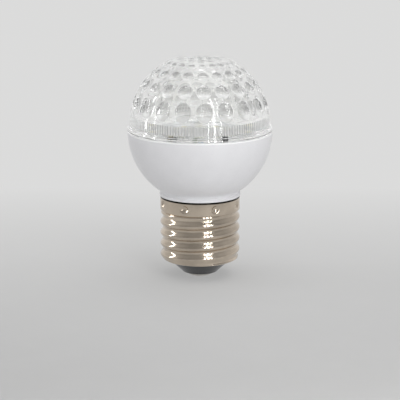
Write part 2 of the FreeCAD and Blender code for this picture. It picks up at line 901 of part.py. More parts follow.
def shell_wire():
    """Lead from the driver board down, out under the neck plug and up against the screw shell's inside."""
    reach = thread_root_radius - shell_wall - seat_gap - wire_radius
    off_board = driver_board_thickness / 2 + wire_radius + seat_gap
    turn_z = neck_plug_bottom_z - shell_wire_below_plug
    return swept(
        [
            FreeCAD.Vector(shell_wire_start_x, off_board, driver_board_bottom_z + shell_wire_solder_height),
            FreeCAD.Vector(shell_wire_start_x, off_board, turn_z),
            FreeCAD.Vector(0, reach, turn_z),
            FreeCAD.Vector(0, reach, neck_plug_bottom_z + shell_wire_rise),
        ],
        wire_bend,
        wire_radius,
    )


def all_parts():
    """Every node's name with its shape."""
    parts = {
        "clear_cover": clear_cover(),
        "lower_housing": lower_housing(),
        "screw_shell": screw_shell(),
        "cap_insulator": cap_insulator(),
        "centre_contact": centre_contact(),
        "heat_spreader": heat_spreader(),
        "led_board": led_board(),
        "control_chip": control_chip(),
        "ceramic_capacitor": chip_part(ceramic_capacitor_size, ceramic_capacitor_angle),
        "dark_resistor": chip_part(dark_resistor_size, dark_resistor_angle),
        "green_capacitor": chip_part(green_capacitor_size, green_capacitor_angle),
        "blue_resistor": chip_part(blue_resistor_size, blue_resistor_angle),
        "driver_board": driver_board(),
        "filter_capacitor": filter_capacitor(),
        "inductor": inductor(),
        "bridge_rectifier": bridge_rectifier(),
        "fusible_resistor": fusible_resistor(),
        "switching_chip": switching_chip(),
        "positive_pin": board_pin(1),
        "negative_pin": board_pin(-1),
        "centre_wire": centre_wire(),
        "shell_wire": shell_wire(),
    }
    package = led_package()
    for index in range(led_count):
        parts["led_package_%02d" % (index + 1)] = turned_to(package, index * 360 / led_count)
    screw = board_screw()
    for index, angle in enumerate(boss_angles()):
        parts["board_screw_%d" % (index + 1)] = turned_to(screw, angle)
    return parts


def main():
    """Write one file for each part."""
    os.makedirs("parts", exist_ok=True)
    for name, shape in all_parts().items():
        print(name, shape.ShapeType, len(shape.Solids), shape.isValid(), round(shape.Volume, 2))
        shape.exportStep(os.path.join("parts", name + ".step"))


main()
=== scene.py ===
"""Looks of the LED bulb: its clear dimpled dome, white cup, screw cap and inner parts, on a pale stage."""

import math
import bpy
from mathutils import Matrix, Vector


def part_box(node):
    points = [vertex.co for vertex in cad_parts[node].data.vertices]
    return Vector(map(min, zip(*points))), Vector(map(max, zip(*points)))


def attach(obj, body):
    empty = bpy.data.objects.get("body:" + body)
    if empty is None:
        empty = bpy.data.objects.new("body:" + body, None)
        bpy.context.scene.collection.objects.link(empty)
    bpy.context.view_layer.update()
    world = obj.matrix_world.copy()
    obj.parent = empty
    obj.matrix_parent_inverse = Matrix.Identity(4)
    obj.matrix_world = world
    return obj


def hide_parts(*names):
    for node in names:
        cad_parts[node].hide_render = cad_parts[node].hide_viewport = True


bl_info = {
    "name": "LED bulb looks",
    "version": (1, 0, 0),
    "blender": (4, 5, 0),
    "location": "View3D > Sidebar > LED bulb",
    "description": "Models an LED bulb's detailed pieces around its fixed frame and gives each its finish",
    "category": "Object",
}

from collections import namedtuple

import bpy
from bpy.props import FloatProperty, FloatVectorProperty, IntProperty, PointerProperty
from mathutils import Matrix, Vector

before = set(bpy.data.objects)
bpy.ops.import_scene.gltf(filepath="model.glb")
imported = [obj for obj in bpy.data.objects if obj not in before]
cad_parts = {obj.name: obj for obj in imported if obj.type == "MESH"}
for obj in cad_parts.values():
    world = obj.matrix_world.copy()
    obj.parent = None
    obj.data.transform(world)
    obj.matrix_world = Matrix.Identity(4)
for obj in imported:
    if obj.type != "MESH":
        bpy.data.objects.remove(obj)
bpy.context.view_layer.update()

BODY = "root"
MM = 0.001
TINY = 1e-6
WELD = 0.02 * MM
MERGE_DISTANCE = 2 * MM * MM
FRONT = -math.pi / 2

SEAM_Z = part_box("lower_housing")[1].z
CROWN_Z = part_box("clear_cover")[1].z
GLOBE_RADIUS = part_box("clear_cover")[1].x
CAP_TOP_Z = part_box("screw_shell")[1].z
SHELL_MOUTH_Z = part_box("screw_shell")[0].z

# Points round each turned piece, and the angle in degrees past which an edge stays sharp
RING_COUNT = 160
CEILING_COUNT = 180
CAP_COUNT = 240
CROWN_DIMPLE_COUNT = 24
PHOSPHOR_COUNT = 40
FLUTE_STEPS = 8
CELL_SIDE = 8
SHARP = 40
CAP_SHARP = 50

# A row of dimples: latitude, diameter and depth in millimetres, the latitudes that bound its cells,
# height over width, and where the painted shade on its top starts and is full, from -1 at the foot to 1 at
# the head
DimpleRow = namedtuple("DimpleRow", "latitude diameter depth low high tall shade_foot shade_full")
DIMPLE_ROWS = (
    DimpleRow(18.3, 5.3, 0.80, 8.6, 28.0, 1.2, -0.45, 0.15),
    DimpleRow(35.2, 4.8, 0.72, 28.0, 43.0, 1.0, -0.1, 0.3),
    DimpleRow(49.7, 3.6, 0.50, 43.0, 56.0, 1.0, 0.0, 0.4),
    DimpleRow(61.0, 2.6, 0.28, 56.0, 64.8, 1.0, 0.1, 0.5),
)
# Rings of dimples on the crown: how many there are and the ring's radius in millimetres
CROWN_RINGS = ((12, 6.3), (6, 3.3), (1, 0.0))
# Rings that draw a dimple, as shares of its radius: round it, over its rim and inside it
CELL_RINGS = (1.8, 1.5, 1.25)
EDGE_RINGS = (1.11, 1.045, 1.015, 0.985, 0.955, 0.90)
BOWL_RINGS = (0.78, 0.60, 0.42, 0.22)
# The same for a crown dimple: steps from its rim in millimetres, then shares of its radius
CROWN_EDGE_STEPS = (0.12, 0.03, -0.05)
CROWN_BOWL_RINGS = (0.8, 0.55, 0.28)
# How softly the rims of the dimples are rounded
DIMPLE_SOFTENING = 0.08 * MM
CROWN_SOFTENING = 0.05 * MM

# Tone of the painted shade on a dimple's top, as a share of the clear tone
DIMPLE_SHADE = 0.58
# Haze of the clear plastic, from 0 for clear to 1 for milky
RIM_HAZE = 0.45
LOW_HAZE = 0.35
FOOT_HAZE = 0.30
CROWN_HAZE = 0.28
# Where a dimple's marks come in, as shares of its radius: widths at its rim, and depths below its middle
BOWL_MARK_WIDTH = 0.06
RIM_MARK_WIDTH = 0.07
LOW_MARK = (0.05, 0.5)
# Latitudes between which the haze of the plain foot and of the crown comes in or goes out
FOOT_HAZE_IN = (6.0, 8.0)
FOOT_HAZE_OUT = (9.0, 15.0)
CROWN_HAZE_IN = (48.0, 60.0)
# Points deeper below the dome's outside belong to the hollow and get no haze
OUTSIDE_DEPTH = 1.5 * MM
# What the cover's shadow keeps of the light
SHADOW_TINT = (0.93, 0.94, 0.94)

# The cup's painted highlight along its top edge and the cap's painted shadow under the cup's lip: colour,
# and depths below the top between which it comes in
CUP_EDGE_HIGHLIGHT = (0.96, 0.96, 0.97)
CUP_EDGE_HIGHLIGHT_DEPTHS = (0.5 * MM, 0.3 * MM)
LIP_SHADOW_DARK = (0.012, 0.010, 0.008)
LIP_SHADOW_DEPTHS = (0.75 * MM, 0.55 * MM)

# Steps along the half sections of the cover and the cap
CORNER_STEPS = 5
FOOT_STEPS = 7
CROWN_TOP_STEPS = 2
CROWN_ROUND_STEPS = 6
CEILING_STEPS = 30
MOUTH_STEPS = 8
THREAD_STEPS = 72
RIM_STEPS = 20

# A drop of phosphor: radii and heights in millimetres, and its depth below the top of its light source
PHOSPHOR_PROFILE = ((1.04, 0.0), (1.06, 0.05), (0.96, 0.09), (0.7, 0.115), (0.35, 0.125))
PHOSPHOR_DEPTH = 0.14 * MM

# Lamps: name, setting with the strength, share of it, place, height aimed at, width and height
Lamp = namedtuple("Lamp", "name setting share place aim width height")
LAMPS = (
    Lamp("front_lamp", "key", 1.0, (0.124, -0.297, 0.21), 0.21, 0.022, 0.42),
    Lamp("inner_strip", "key", 0.44, (0.072, -0.314, 0.20), 0.20, 0.008, 0.40),
    Lamp("outer_strip", "key", 0.44, (0.177, -0.270, 0.20), 0.20, 0.008, 0.40),
    Lamp("side_lamp", "side", 1.0, (-0.413, 0.04, 0.15), 0.15, 0.034, 0.30),
    Lamp("top_lamp", "top", 1.0, (0.08, 0.02, 0.65), 0.045, 0.6, 0.6),
)
SENSOR_WIDTH = 36.0
FLOOR_SIZE = 6.0
BACKDROP_HEIGHT = 3.0
SWEEP_RADIUS = 1.2
SWEEP_STEPS = 16
# Distances behind the bulb between which the floor fades into the backdrop
FADE = (-0.10, 0.13)
# Strength of the backdrop in metal and glass, beside 1 for the camera
GLASS_GAIN = 1.10
# Share of the backdrop's even light in what the floor gives back to the bulb
FLOOR_BOUNCE = 0.335
# Strength of the world as a light
WORLD_LIGHT = 0.67
# Changes of the world's strength: axis, both strengths, and where the change starts and ends
ROOM_CHANGES = (("Y", 0.67, 1.31, -0.5, 0.7), ("Z", 1.0, 0.75, -0.04, 0.28))
CLEAR_BOUNCES = 24
GLOSSY_BOUNCES = 12


def length(name, default, text):
    """A size in metres that the panel shows as a distance."""
    return FloatProperty(
        name=name, description=text, default=default, unit="LENGTH", subtype="DISTANCE", precision=5
    )


def degrees(name, default, text):
    """An angle that is given and shown in degrees."""
    return FloatProperty(name=name, description=text, default=math.radians(default), subtype="ANGLE")


def power(name, default, text):
    """The strength of a lamp in watts."""
    return FloatProperty(name=name, description=text, default=default, unit="POWER")


def repeats(name, default, least, text):
    """How often something is repeated round the bulb."""
    return IntProperty(name=name, description=text, default=default, min=least)


def colour(name, default, text):
    """A finish colour that the panel shows as a swatch."""
    return FloatVectorProperty(
        name=name, description=text, default=default, size=3, min=0.0, max=1.0, subtype="COLOR"
    )


class LedBulbCoverSizes(bpy.types.PropertyGroup):
    """Sizes of the clear cover."""

    dome_radius: length("Dome radius", 22.84 * MM, "Radius of the dome's outside")
    dome_rise: length("Dome centre", 2.26 * MM, "Height of the dome's centre above the seam")
    rim_height: length("Rim height", 1.4 * MM, "Height of the cover's stepped rim")
    wall: length("Wall", 5.7 * MM, "Thickness of the clear wall")
    spigot_depth: length("Spigot depth", 1.9 * MM, "How far the cover reaches into the cup")
    spigot_radius: length("Spigot radius", 21.3 * MM, "Outer radius of the spigot")
    spigot_wall: length("Spigot wall", 1.4 * MM, "Thickness of the spigot")
    crown_round: length("Crown round", 0.9 * MM, "Radius of the crown's rounded edge")
    crown_dimple: length("Crown dimple", 2.5 * MM, "Diameter of a dimple on the crown")
    crown_depth: length("Crown dimple depth", 0.3 * MM, "Depth of a dimple on the crown")
    flute_depth: length("Flute depth", 0.26 * MM, "Depth of the flutes inside the wall")
    flute_start: length("Flute start", 1.5 * MM, "Height of the fluted band's lower edge above the seam")
    flute_height: length("Flute height", 2.6 * MM, "Height of the fluted band")
    flute_count: repeats("Flutes", 126, 12, "Number of flutes round the band")
    columns: repeats("Columns", 20, 6, "Number of dimple columns round the dome")
    turn: degrees("Turn", 3.6, "Turn of the dimple columns from the front")


class LedBulbCapSizes(bpy.types.PropertyGroup):
    """Sizes of the screw cap."""

    crest_radius: length("Crest radius", 13.05 * MM, "Outer radius of the thread and of the rim")
    root_radius: length("Root radius", 12.2 * MM, "Radius at the bottom of the thread")
    pitch: length("Pitch", 3.629 * MM, "Rise of the thread in one turn")
    rim_height: length("Rim height", 4.8 * MM, "Height of the plain rim")
    rim_corner: length("Rim corner", 0.4 * MM, "Radius of the rim's lower corner")
    mouth_radius: length("Mouth radius", 10.9 * MM, "Radius of the shell's turned-in mouth")
    mouth_height: length("Mouth height", 2.2 * MM, "Height over which the mouth turns in")
    wall: length("Wall", 0.3 * MM, "Thickness of the rolled sheet")
    crimp_radius: length("Crimp radius", 1.6 * MM, "Radius of the punch that makes a crimp")
    crimp_depth: length("Crimp depth", 0.7 * MM, "Depth of a crimp")
    crimp_count: repeats("Crimps", 8, 1, "Number of crimps round the rim")


class LedBulbColours(bpy.types.PropertyGroup):
    """Colours of the bulb's finishes."""

    cover: colour("Cover", (0.985, 0.987, 0.98), "Clear plastic of the cover")
    cup: colour("Cup", (0.78, 0.78, 0.80), "White plastic of the cup")
    cap: colour("Cap", (0.62, 0.535, 0.44), "Plated sheet of the screw cap")
    insulator: colour("Insulator", (0.02, 0.02, 0.022), "Glossy insulator under the cap")
    # The board's grey is its white mask with painted shade from the cover over it
    board: colour("Board", (0.56, 0.56, 0.57), "White mask of the light board")


class LedBulbStage(bpy.types.PropertyGroup):
    """The camera, the lamps and the pale surroundings."""

    lens: FloatProperty(name="Lens", description="Focal length of the camera", default=135.0, unit="CAMERA")
    distance: length("Distance", 0.4794, "Distance of the camera in front of the bulb")
    height: length("Height", 0.1362, "Height of the camera above the floor")
    pitch: degrees("Pitch", 13.06, "Downward tilt of the camera")
    key: power("Key", 0.36, "Strength of the front lamp")
    side: power("Side", 0.28, "Strength of the left lamp")
    top: power("Top", 1.1, "Strength of the overhead lamp")
    floor: colour("Floor", (0.55, 0.55, 0.55), "Colour of the floor")
    backdrop: colour("Backdrop", (0.71, 0.71, 0.707), "Colour of the backdrop")


# Mesh work


def deselect_everything():
    """Leaves no object selected, so that an operator acts on the new piece alone."""
    bpy.ops.object.select_all(action="DESELECT")


def pick(piece):
    """Selects one piece alone and makes it active."""
    deselect_everything()
    piece.select_set(True)
    bpy.context.view_layer.objects.active = piece


def name_piece(piece, name):
    """Gives an object and its mesh the same name."""
    piece.name = name
    piece.data.name = name


def edit_whole():
    """Starts edit mode on the active piece with all of it selected."""
    bpy.ops.object.mode_set(mode="EDIT")
    bpy.ops.mesh.select_all(action="SELECT")


def start_ring(name, radius, z, count, x=0.0, fill="NOTHING"):
    """Adds the first ring of a turned piece and leaves it selected in edit mode."""
    deselect_everything()
    bpy.ops.mesh.primitive_circle_add(vertices=count, radius=radius, fill_type=fill, location=(x, 0, z))
    piece = bpy.context.object
    name_piece(piece, name)
    edit_whole()
    return piece


def pull_profile(profile, x=0.0):
    """Extrudes the selected ring along a half section of radii and heights."""
    for last, point in zip(profile, profile[1:]):
        grow = point[0] / last[0]
        bpy.ops.mesh.extrude_region_move(TRANSFORM_OT_translate={"value": (0, 0, point[1] - last[1])})
        bpy.ops.transform.resize(value=(grow, grow, 1), center_override=(x, 0, point[1]))


def leave_edit(piece):
    """Ends edit mode and puts the piece's place into its mesh."""
    bpy.ops.object.mode_set(mode="OBJECT")
    bpy.ops.object.transform_apply(location=True, rotation=True, scale=True)
    return piece


def close_centre(piece, rise=0.0):
    """Closes the selected ring to one point on the axis, a rise above it, and ends edit mode."""
    bpy.ops.mesh.extrude_region_move(TRANSFORM_OT_translate={"value": (0, 0, rise)})
    bpy.ops.mesh.merge(type="CENTER")
    return leave_edit(piece)


def turned_piece(name, profile, count):
    """A turned surface whose half section is given as radii and heights."""
    piece = start_ring(name, *profile[0], count)
    pull_profile(profile)
    return leave_edit(piece)


def flat_disc(name, rings, count):
    """A flat disc drawn as rings from its edge to its middle."""
    disc = start_ring(name, rings[0], 0, count)
    pull_profile([(ring, 0) for ring in rings])
    return close_centre(disc)


def joined(name, pieces):
    """One piece made of several, with its doubles merged and its faces turned outwards."""
    deselect_everything()
    for piece in pieces:
        piece.select_set(True)
    bpy.context.view_layer.objects.active = pieces[0]
    bpy.ops.object.join()
    whole = bpy.context.object
    name_piece(whole, name)
    edit_whole()
    bpy.ops.mesh.remove_doubles(threshold=MERGE_DISTANCE)
    bpy.ops.mesh.normals_make_consistent(inside=False)
    return leave_edit(whole)


def turn_outwards(piece):
    """Turns all faces of a piece outwards."""
    pick(piece)
    edit_whole()
    bpy.ops.mesh.normals_make_consistent(inside=False)
    leave_edit(piece)


def select_edges(piece, wanted):
    """Selects the edges whose two ends pass a test and leaves the active piece in edit mode."""
    bpy.ops.object.mode_set(mode="EDIT")
    bpy.ops.mesh.select_mode(type="EDGE")
    bpy.ops.mesh.select_all(action="DESELECT")
    bpy.ops.object.mode_set(mode="OBJECT")
    for edge in piece.data.edges:
        edge.select = all(wanted(piece.data.vertices[end].co) for end in edge.vertices)
    bpy.ops.object.mode_set(mode="EDIT")


def fill_flat(piece, z):
    """Fills the flat between the open loops that lie at a height."""
    flatness = 0.003 * MM
    pick(piece)
    bpy.ops.object.mode_set(mode="EDIT")
    bpy.ops.mesh.select_mode(type="EDGE")
    bpy.ops.mesh.select_all(action="DESELECT")
    bpy.ops.mesh.select_non_manifold(extend=False, use_wire=False, use_multi_face=False, use_verts=False)
    bpy.ops.object.mode_set(mode="OBJECT")
    for edge in piece.data.edges:
        if any(abs(piece.data.vertices[end].co.z - z) > flatness for end in edge.vertices):
            edge.select = False
    bpy.ops.object.mode_set(mode="EDIT")
    bpy.ops.mesh.fill(use_beauty=True)
    leave_edit(piece)


def smooth(piece, sharp):
    """Shades a piece smooth and keeps edges sharper than an angle in degrees."""
    pick(piece)
    bpy.ops.object.shade_smooth_by_angle(angle=math.radians(sharp))


def moved_copy(piece, move):
    """A copy of a piece with its own mesh, moved or turned by a matrix."""
    copy = piece.copy()
    copy.data = piece.data.copy()
    copy.data.transform(move)
    bpy.context.collection.objects.link(copy)
    return copy


def axis_turn(turn):
    """The matrix of a turn about the bulb's axis."""
    return Matrix.Rotation(turn, 4, "Z")


def push_out(vertex, grow):
    """Moves a point straight away from the bulb's axis."""
    vertex.co.x *= grow
    vertex.co.y *= grow


def ramp(value, start, end):
    """Zero before the start, one after the end and even in between."""
    return min(1.0, max(0.0, (value - start) / (end - start)))


def even_steps(start, end, steps):
    """Evenly spaced values after a start, up to and with an end."""
    return [start + (end - start) * (step + 1) / steps for step in range(steps)]


def arc_points(centre, radius, start, end, steps):
    """Points of an arc in a half section, by angle in degrees."""
    turns = [math.radians(start + (end - start) * step / steps) for step in range(steps + 1)]
    return [(centre[0] + radius * math.cos(turn), centre[1] + radius * math.sin(turn)) for turn in turns]


def finish_piece(piece, slot, material, *nodes):
    """Gives a new piece its material, its body and the CAD nodes that it stands for."""
    piece.data.materials.clear()
    piece.data.materials.append(material)
    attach(piece, BODY)
    if nodes:
        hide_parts(*nodes)


def dress(material, *nodes):
    """Gives CAD nodes their finish."""
    for node in nodes:
        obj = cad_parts[node]
        if not obj.material_slots:
            obj.data.materials.append(material)
        for slot in obj.material_slots:
            slot.material = material


def nodes_called(start):
    """The names of the CAD nodes that begin alike, in order."""
    return sorted(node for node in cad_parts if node.startswith(start))


# Finishes


def new_finish(name, base, roughness, metallic=0.0, coat=0.0):
    """A material with one shader whose plain numbers are set on it directly."""
    material = bpy.data.materials.new(name)
    material.use_nodes = True
    shader = shader_of(material)
    shader.inputs["Base Color"].default_value = (*base, 1.0)
    shader.inputs["Roughness"].default_value = roughness
    shader.inputs["Metallic"].default_value = metallic
    shader.inputs["Coat Weight"].default_value = coat
    material.diffuse_color = (*base, 1.0)
    return material


def shader_of(material):
    """The material's main shader."""
    return material.node_tree.nodes["Principled BSDF"]


def add_node(owner, kind, **values):
    """A new node of a material or the world, with its named settings and inputs."""
    node = owner.node_tree.nodes.new(kind)
    for name, value in values.items():
        if hasattr(node, name):
            setattr(node, name, value)
        else:
            node.inputs[name.replace("_", " ")].default_value = value
    return node


def connect(owner, source, target):
    """Links an output socket to an input socket."""
    owner.node_tree.links.new(source, target)


def combined(owner, operation, first, second):
    """The number that an operation makes of two numbers."""
    node = add_node(owner, "ShaderNodeMath", operation=operation)
    connect(owner, first, node.inputs[0])
    connect(owner, second, node.inputs[1])
    return node.outputs[0]


def mixed_shaders(owner, factor, first, second):
    """One shader that changes from a first to a second by a factor."""
    node = add_node(owner, "ShaderNodeMixShader")
    for source, target in zip((factor, first, second), node.inputs):
        connect(owner, source, target)
    return node.outputs[0]


def show(owner, shader, output="Material Output"):
    """Puts a shader on the surface."""
    connect(owner, shader, owner.node_tree.nodes[output].inputs["Surface"])


def axes_of(owner, vector):
    """The X, Y and Z parts of a vector, by name."""
    node = add_node(owner, "ShaderNodeSeparateXYZ")
    connect(owner, vector, node.inputs["Vector"])
    return node.outputs


def own_place(material):
    """The piece's own coordinates in metres."""
    return add_node(material, "ShaderNodeTexCoord").outputs["Object"]


def placed(material, stretch=(1, 1, 1)):
    """The piece's own coordinates, stretched along each axis."""
    mapping = add_node(material, "ShaderNodeMapping", Scale=stretch)
    connect(material, own_place(material), mapping.inputs["Vector"])
    return mapping.outputs["Vector"]


def noise(material, vector, scale, detail=4.0):
    """A soft random pattern, with its scale in cycles per metre."""
    node = add_node(material, "ShaderNodeTexNoise", Scale=scale, Detail=detail, Roughness=0.55)
    connect(material, vector, node.inputs["Vector"])
    return node.outputs["Fac"]


def blend_colours(material, factor, low, high):
    """A colour between two by a factor, the low one plain or a socket."""
    node = add_node(material, "ShaderNodeMix", data_type="RGBA")
    colours = [socket for socket in node.inputs if socket.type == "RGBA"]
    if isinstance(low, bpy.types.NodeSocket):
        connect(material, low, colours[0])
    else:
        colours[0].default_value = (*low, 1.0)
    colours[1].default_value = (*high, 1.0)
    connect(material, factor, node.inputs[0])
    return [socket for socket in node.outputs if socket.type == "RGBA"][0]


def span(owner, factor, low, high, start=0.3, end=0.7):
    """A number that goes from low to high while the factor goes from start to end."""
    node = add_node(owner, "ShaderNodeMapRange", From_Min=start, From_Max=end, To_Min=low, To_Max=high)
    connect(owner, factor, node.inputs["Value"])
    return node.outputs["Result"]


def switch(owner, factor, low, high):
    """A number that is low where the factor is 0 and high where it is 1."""
    return span(owner, factor, low, high, 0.0, 1.0)


def relief(material, heights):
    """Bumps from patterns, each given as its height socket, strength and depth in metres."""
    normal = None
    for height, strength, depth in heights:
        node = add_node(material, "ShaderNodeBump", Strength=strength, Distance=depth)
        connect(material, height, node.inputs["Height"])
        if normal is not None:
            connect(material, normal, node.inputs["Normal"])
        normal = node.outputs["Normal"]
    connect(material, normal, shader_of(material).inputs["Normal"])


def banded(material, tone, colour_above, low, high):
    """A colour that changes into another one between two heights."""
    height = axes_of(material, own_place(material))["Z"]
    return blend_colours(material, span(material, height, 0.0, 1.0, low, high), tone, colour_above)


def seen_ray(owner):
    """One for rays that are seen directly, in a reflection or through glass, and zero for the rest."""
    path = add_node(owner, "ShaderNodeLightPath")
    seen = path.outputs["Is Camera Ray"]
    for name in ("Is Glossy Ray", "Is Transmission Ray"):
        seen = combined(owner, "MAXIMUM", seen, path.outputs[name])
    return seen


def tinted(base, factor):
    """A colour made lighter or darker."""
    return tuple(min(1.0, max(0.0, part * factor)) for part in base)


def plain_finish(name, base, roughness, spread=0.12, grain=900.0, depth=0.00002, **more):
    """A moulded, painted or pressed finish with soft colour changes, uneven gloss and a fine grain."""
    material = new_finish(name, base, roughness, **more)
    vector = placed(material)
    cloud = noise(material, vector, grain * 0.1)
    fine = noise(material, vector, grain, detail=3.0)
    shader = shader_of(material)
    darker = tinted(base, 1 - spread)
    lighter = tinted(base, 1 + spread * 0.6)
    tone = blend_colours(material, span(material, cloud, 0.0, 1.0), darker, lighter)
    connect(material, tone, shader.inputs["Base Color"])
    gloss = span(material, fine, max(0.02, roughness * 0.8), min(1.0, roughness * 1.25))
    connect(material, gloss, shader.inputs["Roughness"])
    relief(material, [(fine, 0.35, depth), (cloud, 0.2, depth * 4)])
    return material


# Pieces


class LEDBULB_OT_stage(bpy.types.Operator):
    """Adds the camera, the lamps, the pale floor and the world"""

    bl_idname = "led_bulb.stage"
    bl_label = "Stage"

    def execute(self, context):
        stage = context.scene.led_bulb_stage
        self.add_camera(context, stage)
        self.add_floor(stage)
        for lamp in LAMPS:
            self.add_lamp(lamp, getattr(stage, lamp.setting) * lamp.share)
        self.add_world(context, stage)
        context.scene.view_settings.view_transform = "Standard"
        context.scene.cycles.max_bounces = CLEAR_BOUNCES
        context.scene.cycles.glossy_bounces = GLOSSY_BOUNCES
        context.scene.cycles.transmission_bounces = CLEAR_BOUNCES
        return {"FINISHED"}

    def add_camera(self, context, stage):
        """The camera in front of the bulb, tilted down to it."""
        deselect_everything()
        place = (0, -stage.distance, stage.height)
        bpy.ops.object.camera_add(location=place, rotation=(math.pi / 2 - stage.pitch, 0, 0))
        camera = context.object
        camera.data.lens = stage.lens
        camera.data.sensor_width = SENSOR_WIDTH
        context.scene.camera = camera

    def add_floor(self, stage):
        """A floor that sweeps up into a backdrop."""
        deselect_everything()
        bpy.ops.mesh.primitive_plane_add(size=FLOOR_SIZE, location=(0, 0, 0))
        floor = bpy.context.object
        floor.name = "floor"
        select_edges(floor, lambda end: end.y > 0)
        bpy.ops.mesh.extrude_region_move(TRANSFORM_OT_translate={"value": (0, 0, BACKDROP_HEIGHT)})
        select_edges(floor, lambda end: end.y > 0 and abs(end.z) < TINY)
        bpy.ops.mesh.bevel(offset=SWEEP_RADIUS, segments=SWEEP_STEPS)
        leave_edit(floor)
        smooth(floor, SHARP)
        base = tuple(stage.floor)
        material = plain_finish("pale_floor", base, 0.75, spread=0.01, grain=40.0, depth=0.00001)
        self.fade_to_backdrop(material, stage)
        floor.data.materials.append(material)

    def fade_to_backdrop(self, material, stage):
        """Lets the floor behind the bulb fade into an even pale backdrop where it is seen."""
        path = add_node(material, "ShaderNodeLightPath")
        distance = axes_of(material, own_place(material))["Y"]
        far = span(material, distance, 0.0, 1.0, *FADE)
        share = combined(material, "MULTIPLY", far, seen_ray(material))
        bounce = switch(material, path.outputs["Is Diffuse Ray"], 0.0, FLOOR_BOUNCE)
        even = add_node(material, "ShaderNodeEmission", Color=(*stage.backdrop, 1.0))
        gain = switch(material, path.outputs["Is Camera Ray"], GLASS_GAIN, 1.0)
        connect(material, gain, even.inputs["Strength"])
        either = combined(material, "MAXIMUM", share, bounce)
        show(material, mixed_shaders(material, either, shader_of(material).outputs[0], even.outputs[0]))

    def add_lamp(self, lamp, watts):
        """A soft rectangular lamp that faces the bulb's axis."""
        deselect_everything()
        aim = Vector((0, 0, lamp.aim)) - Vector(lamp.place)
        facing = aim.to_track_quat("-Z", "Y").to_euler()
        bpy.ops.object.light_add(type="AREA", location=lamp.place, rotation=facing)
        light = bpy.context.object
        light.name = lamp.name
        light.data.shape = "RECTANGLE"
        light.data.size = lamp.width
        light.data.size_y = lamp.height
        light.data.energy = watts

    def add_world(self, context, stage):
        """A pale world that lights the bulb less than the camera, metal and glass see it."""
        world = bpy.data.worlds.new("pale_world")
        context.scene.world = world
        world.use_nodes = True
        pale = (*stage.backdrop, 1.0)
        seen = world.node_tree.nodes["Background"]
        seen.inputs["Color"].default_value = pale
        connect(world, self.room(world), seen.inputs["Strength"])
        lit = add_node(world, "ShaderNodeBackground", Color=pale, Strength=WORLD_LIGHT)
        show(world, mixed_shaders(world, seen_ray(world), lit.outputs[0], seen.outputs[0]), "World Output")

    def room(self, world):
        """The strength of the world: highest behind the bulb, lower at its sides, above it and in front."""
        coords = add_node(world, "ShaderNodeTexCoord")
        axes = axes_of(world, coords.outputs["Generated"])
        parts = [span(world, axes[axis], *change) for axis, *change in ROOM_CHANGES]
        return combined(world, "MULTIPLY", *parts)


